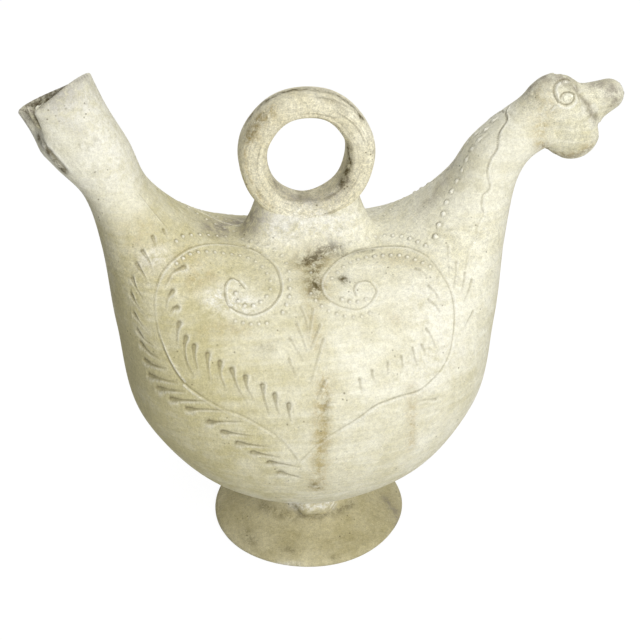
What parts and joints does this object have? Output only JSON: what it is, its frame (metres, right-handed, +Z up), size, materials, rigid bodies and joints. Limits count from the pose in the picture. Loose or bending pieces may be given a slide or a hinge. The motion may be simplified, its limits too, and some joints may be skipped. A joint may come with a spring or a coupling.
{
  "type": "hen-shaped pitcher",
  "caption": "Hollow earthenware pitcher shaped like a hen on a flared foot: filled at the raised tail, poured from the bill, carried by a ring on its back.",
  "frame": {"origin": "on the surface that the foot stands on, under the middle of the pitcher's length", "axes": "+X from the tail towards the bill, +Y across the hen towards its left side, +Z up"},
  "size_m": [0.3482, 0.198, 0.3204],
  "materials": {
    "cream_clay": "matte unglazed cream earthenware, smoothed while damp, with olive dirt in the incised lines",
    "foot_clay": "matte unglazed earthenware, olive beige and stained",
    "ring_clay": "matte unglazed earthenware, ochre patina with concentric throwing lines",
    "head_clay": "matte unglazed earthenware, grainy and greyed on top"
  },
  "bodies": {
    "root": {"foot_pedestal": "foot_clay", "foot_luting_coil": "foot_clay", "belly_bowl": "cream_clay", "back_dome": "cream_clay", "tail_tube": "cream_clay", "tail_mouth": "cream_clay", "lip_tongue": "cream_clay", "neck_tube": "cream_clay", "head_shell": "head_clay", "cheek_bulb": "head_clay", "bill_spout": "head_clay", "ring_handle": "ring_clay", "handle_saddle": "cream_clay", "eye_left": "head_clay", "eye_right": "head_clay"}
  },
  "joints": []
}
